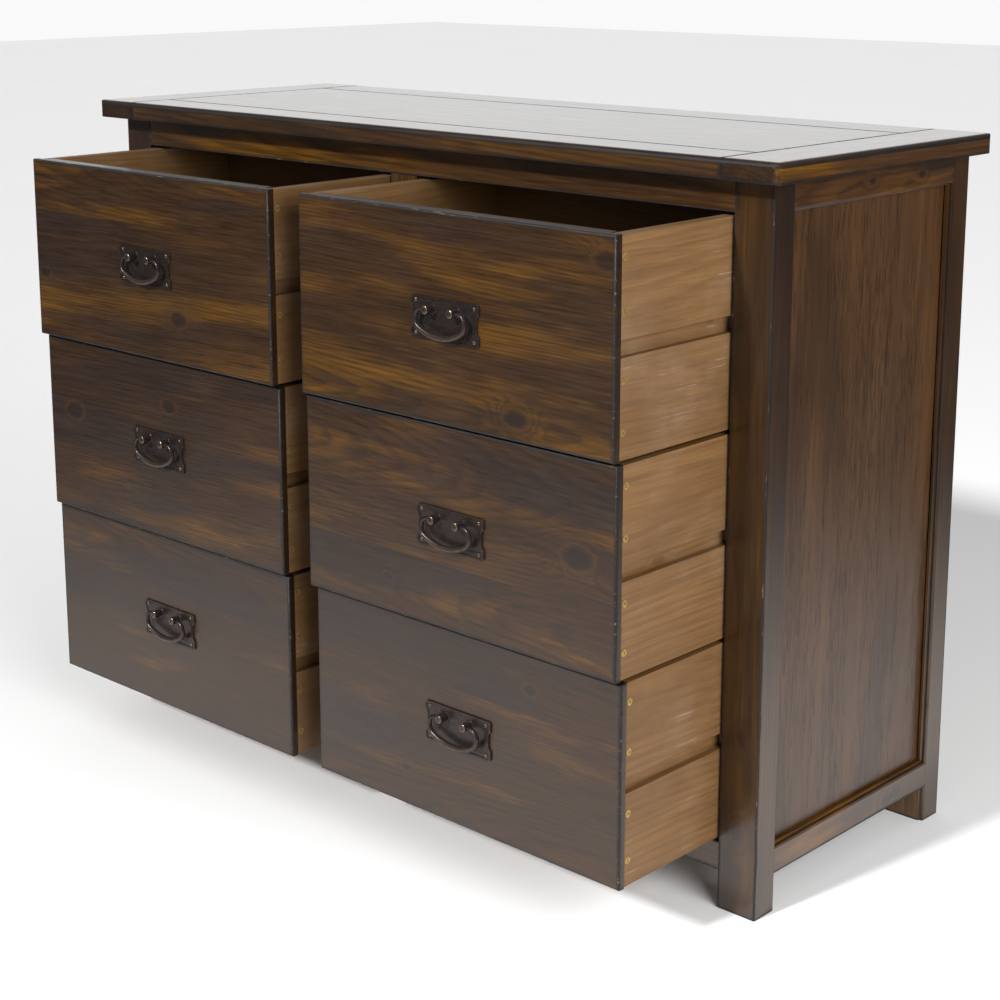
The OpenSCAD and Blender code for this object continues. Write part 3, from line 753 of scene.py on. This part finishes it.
def screw(name, points):
    """A countersunk screw with a cross recess, where a CAD screw of these vertices is."""
    low, high = points.min(0), points.max(0)
    axis = int(np.argmax(high - low))
    middle = (low + high) / 2
    spread = np.linalg.norm(np.delete(points - middle, axis, 1), axis=1)
    head_end = high if points[spread.argmax()][axis] > middle[axis] else low
    facing = Vector((0, 0, 0))
    facing[axis] = 1 if head_end is high else -1
    at = Vector(middle)
    at[axis] = head_end[axis]
    length, head = (high - low)[axis], spread.max()
    shank = min(np.sort(spread)[:8].mean(), head * 0.55)
    point = 4 * MM
    profile = [(shank * 0.3, -length), (shank, point - length), (shank, shank - head - 0.6 * MM),
               (head * 0.97, -0.35 * MM), (head, -0.15 * MM), (head * 0.93, 0)]
    obj = turned(name, profile, 16, at, facing)
    spin = Vector((0, 0, 1)).rotation_difference(facing).to_matrix().to_4x4()
    slot_size = Vector((head * 1.25, head * 0.26, 2.2 * MM))
    driven_to = 0.6
    for turn in (0, math.pi / 2):
        slot = block("slot", -slot_size / 2, slot_size / 2)
        slot.data.transform(Matrix.Translation(at) @ spin @ Matrix.Rotation(turn + driven_to, 4, "Z"))
        cut(obj, slot)
    return obj


def screw_set(node, name):
    """All the screws of a CAD node, as one object."""
    screws = [screw(f"screw_{i}", points) for i, points in enumerate(parts_of_node(node))]
    join(*screws)
    screws[0].name = name
    shade(screws[0])
    return screws[0]


class DRESSER_OT_screws(bpy.types.Operator):
    """Makes the screws of the carcass and the drawers"""

    bl_idname = "dresser.screws"
    bl_label = "Screws"

    def execute(self, context):
        obj = screw_set("carcass_screws", "carcass_screw_set")
        stand_in(obj, obj.name, "carcass_screws", "carcass", finish_of("zinc"))
        pattern = screw_set(f"{PATTERN}_drawer_screws", "screw_pattern")
        for drawer in DRAWERS:
            node = f"{drawer}_drawer_screws"
            obj = copied(pattern, f"{drawer}_screws", shift_to(drawer))
            stand_in(obj, obj.name, node, f"{drawer}_drawer", finish_of("zinc"))
        bpy.data.objects.remove(pattern)
        return {"FINISHED"}


# ---- Drawers ----

def shift_to(drawer):
    """From the first drawer's place to this one's."""
    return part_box(f"{drawer}_drawer_front")[0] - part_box(f"{PATTERN}_drawer_front")[0]


# Of each front: its share of amber, which is less on the lower fronts, where its planks are joined, and its
# knots as (along, up, size)
FIGURES = {
    "left_top": (0.62, 0.22, ((58, -55, 11), (-205, -30, 7))),
    "left_middle": (0.48, -0.10, ((-170, 20, 12), (20, 55, 9))),
    "left_bottom": (0.34, 0.16, ((30, 20, 6),)),
    "right_top": (0.62, 0.12, ((96, -86, 11), (212, 84, 12))),
    "right_middle": (0.52, -0.18, ((172, 8, 14), (-95, -70, 5))),
    "right_bottom": (0.40, 0.20, ((102, 72, 7), (-80, -66, 5))),
}


def drawer_front(drawer, radius):
    """A front with a rebate at each end for the drawer's sides, a rounded face and two glued planks."""
    low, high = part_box(f"{drawer}_drawer_front")
    left, right = parts_of_node(f"{drawer}_drawer_sides")
    lip = left.min(0)[Y]
    inner_width = right.min(0)[X] - left.max(0)[X]
    share, joint, knots = FIGURES[drawer]
    obj = block(f"{drawer}_front", low, (high.x, lip, high.z))
    edit(obj)
    pick(obj, "FACE", lambda face: face.normal.y > 0.9)
    bpy.ops.mesh.extrude_region_move(TRANSFORM_OT_translate={"value": (0, 0, 0)})
    middle = ((low.x + high.x) / 2, lip, (low.z + high.z) / 2)
    bpy.ops.transform.resize(value=(inner_width / (high.x - low.x), 1, 1), center_override=middle)
    bpy.ops.mesh.extrude_region_move(TRANSFORM_OT_translate={"value": (0, high.y - lip, 0)})
    pick(obj, "EDGE", lambda edge: all(v.co.y < low.y + 0.1 * MM for v in edge.verts))
    bpy.ops.mesh.bevel(offset=radius, segments=5, profile=0.5, affect="EDGES")
    glue_line = middle[Z] + joint * (high.z - low.z)
    bpy.ops.mesh.select_all(action="SELECT")
    bpy.ops.mesh.bisect(plane_co=(0, 0, glue_line), plane_no=(0, 0, 1))
    deselect()
    apply(obj, "BEVEL", width=0.5 * MM, segments=2, limit_method="ANGLE", angle_limit=math.radians(60))
    shade(obj)
    knots = [[value * MM for value in knot] for knot in knots]
    lay_grain(obj, X, tone=share, knots=knots, joints=[glue_line])
    return obj


class DRESSER_OT_drawer_fronts(bpy.types.Operator):
    """Makes the drawer fronts"""

    bl_idname = "dresser.drawer_fronts"
    bl_label = "Drawer fronts"

    def execute(self, context):
        for drawer in DRAWERS:
            obj = drawer_front(drawer, context.scene.dresser_sizes.front_arris)
            stand_in(obj, obj.name, f"{drawer}_drawer_front", f"{drawer}_drawer",
                     finish_of("front"))
        return {"FINISHED"}


class DRESSER_OT_drawer_boxes(bpy.types.Operator):
    """Makes the sides, backs and bottoms of the drawers"""

    bl_idname = "dresser.drawer_boxes"
    bl_label = "Drawer boxes"

    def execute(self, context):
        radius = context.scene.dresser_sizes.raw_arris
        for part, along, finish, slot in (("sides", Y, "raw", "drawer_wood"),
                                          ("back", X, "raw", "drawer_wood"),
                                          ("bottom", X, "base", "drawer_base")):
            pattern = copy_of_node(f"{PATTERN}_drawer_{part}", "pattern")
            ease(pattern, radius)
            for drawer in DRAWERS:
                obj = copied(pattern, f"{drawer}_{part}", shift_to(drawer))
                lay_grain(obj, along, knotty=0.2)
                stand_in(obj, obj.name, f"{drawer}_drawer_{part}", f"{drawer}_drawer",
                         finish_of(finish))
            bpy.data.objects.remove(pattern)
        return {"FINISHED"}


# ---- Pulls ----

def knob_places(sizes):
    """The middle of the first pull's plate on its drawer front, and the axis of its bail."""
    low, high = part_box(f"{PATTERN}_pull_plate")
    bail_low, bail_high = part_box(f"{PATTERN}_pull_bail")
    face = Vector(((low.x + high.x) / 2, high.y, (low.z + high.z) / 2))
    axis = Vector((face.x, (bail_low.y + bail_high.y) / 2, bail_high.z - sizes.bail_thin / 2))
    return face, axis


def plate_blank(sizes, low, high, face):
    """The plate with its waists and rounded corners, and its front sunk inside a raised rim."""
    obj = block("backplate", (low.x, face.y - sizes.rim_height - sizes.plate, low.z), high)
    half_width = (high.x - low.x) / 2
    close = 0.1 * MM
    ear = high.z - sizes.ear
    waist = ear - sizes.waist
    edit(obj)
    for level in (ear, waist):
        for z in (level, low.z + high.z - level):
            bpy.ops.mesh.select_all(action="SELECT")
            bpy.ops.mesh.bisect(plane_co=(0, 0, z), plane_no=(0, 0, 1))
    for side in SIDES:
        end = high.x if side > 0 else low.x
        pick(obj, "VERT", lambda v: (abs(v.co.x - end) < close
                                     and abs(v.co.z - face.z) < waist - face.z + close))
        bpy.ops.transform.translate(value=(-side * sizes.waist, 0, 0))

    def is_corner(edge, level):
        across = abs(edge.verts[0].co.y - edge.verts[1].co.y) > close
        return across and all(abs(v.co.x - face.x) > half_width - sizes.waist - close
                              and abs(abs(v.co.z - face.z) - (level - face.z)) < close for v in edge.verts)

    for radius, level in ((sizes.ear_round, high.z), (sizes.waist_round, ear), (sizes.waist_round, waist)):
        pick(obj, "EDGE", lambda edge: is_corner(edge, level))
        bpy.ops.mesh.bevel(offset=radius, segments=4, profile=0.5, affect="EDGES")
    for way in (1, -1):
        pick(obj, "FACE", lambda f: f.normal.y * way > 0.9)
        bpy.ops.mesh.dissolve_faces()
    outer_line, inner_line = 0.5 * MM, 0.4 * MM
    bpy.ops.mesh.inset(thickness=outer_line, depth=0)
    bpy.ops.mesh.inset(thickness=sizes.rim_width - outer_line - inner_line, depth=0)
    bpy.ops.mesh.inset(thickness=inner_line, depth=-sizes.rim_height)
    deselect()
    return obj


def backplate(sizes):
    """A waisted plate with a raised rim, two knobs bored for the bail, and four pins."""
    low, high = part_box(f"{PATTERN}_pull_plate")
    face, axis = knob_places(sizes)
    obj = plate_blank(sizes, low, high, face)
    reach = face.y - low.y
    radius = sizes.knob_width / 2
    foot = radius + 1.7 * MM
    knob = [(foot, 0.3 * MM), (foot, 1.9 * MM), (foot - 0.6 * MM, 2.5 * MM), (radius * 0.86, 2.7 * MM),
            (radius * 0.84, 4.2 * MM), (radius, 5.2 * MM), (radius, reach - 1 * MM),
            (radius - 0.6 * MM, reach - 0.45 * MM), (radius - 1.6 * MM, reach - 0.15 * MM),
            (radius - 3.0 * MM, reach)]
    pin = [(2.3 * MM, 0.4 * MM), (2.3 * MM, 1.7 * MM), (2.0 * MM, 2.3 * MM), (1.2 * MM, 2.75 * MM),
           (0.5 * MM, 2.85 * MM)]
    pin_x = (high.x - low.x) / 2 - 7 * MM
    pin_z = (high.z - low.z) / 2 - 5 * MM
    bore_radius = sizes.pin_width / 2 + 0.05 * MM
    bore = [(bore_radius, 0), (bore_radius, 8 * MM)]
    for side in SIDES:
        at = Vector((face.x + side * sizes.knob_pitch / 2, face.y, axis.z))
        cut(obj, turned("knob", knob, 32, at, (0, -1, 0)), operation="UNION")
        bore_start = axis + Vector((side * (sizes.knob_pitch / 2 + radius + 1 * MM), 0, 0))
        cut(obj, turned("bore", bore, 24, bore_start, (-side, 0, 0)))
        for up in SIDES:
            at = Vector((face.x + side * pin_x, face.y, face.z + up * pin_z))
            cut(obj, turned("pin", pin, 20, at, (0, -1, 0)), operation="UNION")
    ease(obj, 0.25 * MM, angle=40)
    # rub on the rim and knob faces: wear and painted highlight
    mark_rubbed_and_highlit(obj)
    return obj


def bail_line(sizes, axis):
    """The right half of the bail's centre line from its bottom: each point with the bar's diameter there.

    Three arcs meet without a kink: the bottom, the side and the shoulder. The pin follows the shoulder.
    """
    low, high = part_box(f"{PATTERN}_pull_bail")
    half = (high.x - low.x - sizes.bail_middle) / 2
    drop = axis.z - low.z - sizes.bail_thick / 2
    bend_z = sizes.sweep - drop
    rise = bend_z + sizes.shoulder
    side = (sizes.sweep ** 2 - half ** 2 - rise ** 2) / (2 * (sizes.sweep - half))
    lean = math.atan2(half - side, rise)
    middle = sizes.bail_middle + 0.7 * MM
    arcs = ((0, bend_z, sizes.sweep, -math.pi / 2, lean - math.pi / 2, sizes.bail_thick, middle),
            (half - side, -sizes.shoulder, side, lean - math.pi / 2, 0, middle, sizes.bail_middle),
            (half - sizes.shoulder, -sizes.shoulder, sizes.shoulder, 0, math.pi / 2, sizes.bail_middle,
             sizes.bail_thin))
    line = []
    for x, z, radius, start, end, thick, thin in arcs:
        for t in np.linspace(0, 1, 12, endpoint=False):
            angle = start + (end - start) * t
            line.append((Vector((x + radius * math.cos(angle), 0, z + radius * math.sin(angle))),
                         thick + (thin - thick) * t))
    knob_side = (sizes.knob_pitch + sizes.knob_width) / 2
    collar = sizes.bail_thin + 1.3 * MM
    for x, diameter in ((half - sizes.shoulder, sizes.bail_thin), (knob_side + 1.3 * MM, sizes.bail_thin),
                        (knob_side + 1.2 * MM, collar), (knob_side + 0.4 * MM, collar),
                        (knob_side + 0.3 * MM, sizes.pin_width), (knob_side - 6.3 * MM, sizes.pin_width)):
        line.append((Vector((x, 0, 0)), diameter))
    return line


def swept_bar(name, line, sides=20):
    """A round bar along a line in the XZ plane, with its own diameter at each point."""
    deselect()
    places = [point for point, diameter in line]
    bpy.ops.mesh.primitive_circle_add(vertices=sides, radius=line[0][1] / 2, fill_type="NGON",
                                      rotation=(0, math.pi / 2, 0), location=places[0])
    obj = bpy.context.active_object
    obj.name = name
    bpy.ops.object.transform_apply(location=True, rotation=True, scale=True)
    edit(obj)
    heading = 0.0
    for i in range(1, len(line)):
        ahead = places[min(i + 1, len(places) - 1)] - places[i]
        behind = places[i] - places[i - 1]
        way = ahead.normalized() + behind.normalized()
        turn = math.atan2(way.z, way.x)
        bpy.ops.mesh.extrude_region_move(TRANSFORM_OT_translate={"value": behind})
        bpy.ops.transform.resize(value=(line[i][1] / line[i - 1][1],) * 3, center_override=places[i])
        mesh = bmesh.from_edit_mesh(obj.data)
        spin = Matrix.Rotation(heading - turn, 3, "Y")
        bmesh.ops.rotate(mesh, cent=places[i], matrix=spin, verts=[v for v in mesh.verts if v.select])
        bmesh.update_edit_mesh(obj.data)
        heading = turn
    bpy.ops.mesh.select_all(action="SELECT")
    bpy.ops.mesh.normals_make_consistent(inside=False)
    deselect()
    return obj


def bail(sizes):
    """A bar that hangs from the two knobs and thickens towards its bottom."""
    face, axis = knob_places(sizes)
    obj = swept_bar("bail", bail_line(sizes, axis))
    edit(obj)
    pick(obj, "FACE", lambda f: f.normal.x < -0.9 and abs(f.calc_center_median().x) < 0.1 * MM)
    bpy.ops.mesh.delete(type="FACE")
    deselect()
    apply(obj, "MIRROR", use_axis=(True, False, False), use_mirror_merge=True, merge_threshold=0.05 * MM)
    edit(obj)
    bpy.ops.mesh.normals_make_consistent(inside=False)
    deselect()
    obj.data.transform(Matrix.Translation(axis))
    shade(obj)
    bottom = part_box(f"{PATTERN}_pull_bail")[0].z
    worn_height, worn_most = 22 * MM, 0.2
    worn = [max(0.0, 1 - (v.co.z - bottom) / worn_height) * (worn_most - worn_most * v.normal.y)
            for v in obj.data.vertices]
    write(obj.data, "rub", "FLOAT", np.array([worn[loop.vertex_index] for loop in obj.data.loops]))
    return obj


class DRESSER_OT_pulls(bpy.types.Operator):
    """Makes the backplates and bails of the pulls"""

    bl_idname = "dresser.pulls"
    bl_label = "Pulls"

    def execute(self, context):
        sizes = context.scene.dresser_sizes
        for part, pattern, slot in (("plate", backplate(sizes), "pull_bronze"),
                                    ("bail", bail(sizes), "bail_bronze")):
            for drawer in DRAWERS:
                obj = copied(pattern, f"{drawer}_{part}", shift_to(drawer))
                body = f"{drawer}_drawer" if part == "plate" else f"{drawer}_bail"
                stand_in(obj, obj.name, f"{drawer}_pull_{part}", body, finish_of("bronze"))
            bpy.data.objects.remove(pattern)
        return {"FINISHED"}


# ---- Stage ----

def soft_light(name, place, target, width, height, power):
    """A rectangular studio light that looks at a point and isn't mirrored."""
    data = bpy.data.lights.new(name, "AREA")
    data.shape = "RECTANGLE"
    data.size = width
    data.size_y = height
    data.energy = power
    light = new_object(name, data)
    light.location = place
    light.rotation_euler = (Vector(place) - Vector(target)).to_track_quat("Z", "Y").to_euler()
    light.visible_glossy = False


def key_light(target, turn, rise, power, softness):
    """A sun that comes from in front, turned to the left and raised by these angles in degrees."""
    turn, rise = math.radians(turn), math.radians(rise)
    way = Vector((-math.sin(turn) * math.cos(rise), -math.cos(turn) * math.cos(rise), math.sin(rise)))
    sun = bpy.data.lights.new("key", "SUN")
    sun.energy = power
    sun.angle = math.radians(softness)
    lamp = new_object("key", sun)
    lamp.location = target + way * 3
    lamp.rotation_euler = way.to_track_quat("Z", "Y").to_euler()


def view_from(scene, place, turn, drop, lens, shift):
    """The camera at a place, turned to the left and tilted down by these angles in degrees."""
    data = bpy.data.cameras.new("camera")
    data.lens = lens
    data.sensor_width = 36
    data.shift_y = shift
    data.clip_end = 60
    camera = new_object("camera", data)
    camera.location = place
    camera.rotation_euler = Euler((math.pi / 2 - math.radians(drop), 0, math.radians(turn)), "XYZ")
    scene.camera = camera


def floor_material(tint):
    """Plain pale paper, which the lacquer mirrors only close to the dresser."""
    material, n, surface = new_material("Studio floor")
    place = n.add("TexCoord").outputs["Object"]
    faint = n.blend(n.noise(place, detail=2, scale=1.5), opaque(tint), opaque(shade_of(tint, 1.03)))
    far = n.step(n.distance(place), 0.5, 2.3)
    mirrored = n.times(n.add("LightPath").outputs["Is Glossy Ray"], far)
    n.feed(surface.inputs["Base Color"], n.blend(mirrored, faint, opaque((0.03, 0.03, 0.03))))
    surface.inputs["Roughness"].default_value = 0.85
    return material


def studio_world(scene):
    """White all round, but mirrored bright only from the backdrop behind the dresser."""
    ambient, seen_white, mirrored_dark, mirrored_bright = 0.42, 0.95, 0.03, 0.88
    world = bpy.data.worlds.new("Studio")
    scene.world = world
    world.use_nodes = True
    n = Nodes(world.node_tree)
    way = n.add("TexCoord").outputs["Generated"]
    heading = n.add("VectorMath", {0: way, 1: (-0.62, 0.78, 0.0)}, operation="DOT_PRODUCT").outputs["Value"]
    ray = n.add("LightPath").outputs
    mirrored = n.step(heading, 0.45, 0.85, mirrored_dark, mirrored_bright)
    mirrored = n.times(mirrored, ray["Is Glossy Ray"])
    shed = n.times(n.minus(1.0, ray["Is Glossy Ray"]), ambient)
    seen = n.times(ray["Is Camera Ray"], seen_white)
    strength = n.math("MAXIMUM", n.plus(mirrored, shed), seen)
    background = world.node_tree.nodes["Background"]
    n.feed(background.inputs["Strength"], strength)
    background.inputs["Color"].default_value = (1, 1, 1, 1)


class DRESSER_OT_stage(bpy.types.Operator):
    """Makes the floor, the lights and the camera"""

    bl_idname = "dresser.stage"
    bl_label = "Stage"

    def execute(self, context):
        scene = context.scene
        deselect()
        bpy.ops.mesh.primitive_plane_add(size=30, location=(0, 0, 0))
        floor = context.active_object
        floor.name = "studio_floor"
        floor.data.materials.append(floor_material(scene.dresser_colours.floor))
        studio_world(scene)

        middle = Vector((0, -0.05, 0.42))
        key_light(middle, turn=9, rise=33, power=3.6, softness=5)
        soft_light("fill", (3.2, -0.9, 1.5), middle, width=2.4, height=2.0, power=150)
        view_from(scene, (1.6262, -1.6659, 1.0119), turn=43.05, drop=12.39, lens=71.6, shift=-0.13)
        scene.view_settings.view_transform = "Standard"
        return {"FINISHED"}


class DRESSER_PT_panel(bpy.types.Panel):
    """Lists the steps that make the dresser, with its sizes and colours"""

    bl_idname = "DRESSER_PT_panel"
    bl_label = "Dresser"
    bl_space_type = "VIEW_3D"
    bl_region_type = "UI"
    bl_category = "Dresser"

    def draw(self, context):
        for step in STEPS:
            self.layout.operator(step.bl_idname)
        for group in (context.scene.dresser_sizes, context.scene.dresser_colours):
            box = self.layout.box()
            for name in group.__annotations__:
                box.prop(group, name)


STEPS = (DRESSER_OT_stage, DRESSER_OT_top, DRESSER_OT_frame, DRESSER_OT_panels, DRESSER_OT_runners,
         DRESSER_OT_drawer_fronts, DRESSER_OT_drawer_boxes, DRESSER_OT_screws, DRESSER_OT_pulls)
CLASSES = (DresserSizes, DresserColours, *STEPS, DRESSER_PT_panel)


def register():
    for cls in CLASSES:
        bpy.utils.register_class(cls)
    bpy.types.Scene.dresser_sizes = PointerProperty(type=DresserSizes)
    bpy.types.Scene.dresser_colours = PointerProperty(type=DresserColours)


def unregister():
    del bpy.types.Scene.dresser_colours
    del bpy.types.Scene.dresser_sizes
    for cls in reversed(CLASSES):
        bpy.utils.unregister_class(cls)


def main():
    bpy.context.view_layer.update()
    register()
    for step in STEPS:
        group, name = step.bl_idname.split(".")
        getattr(getattr(bpy.ops, group), name)()
    deselect()


if __name__ == "__main__":
    main()
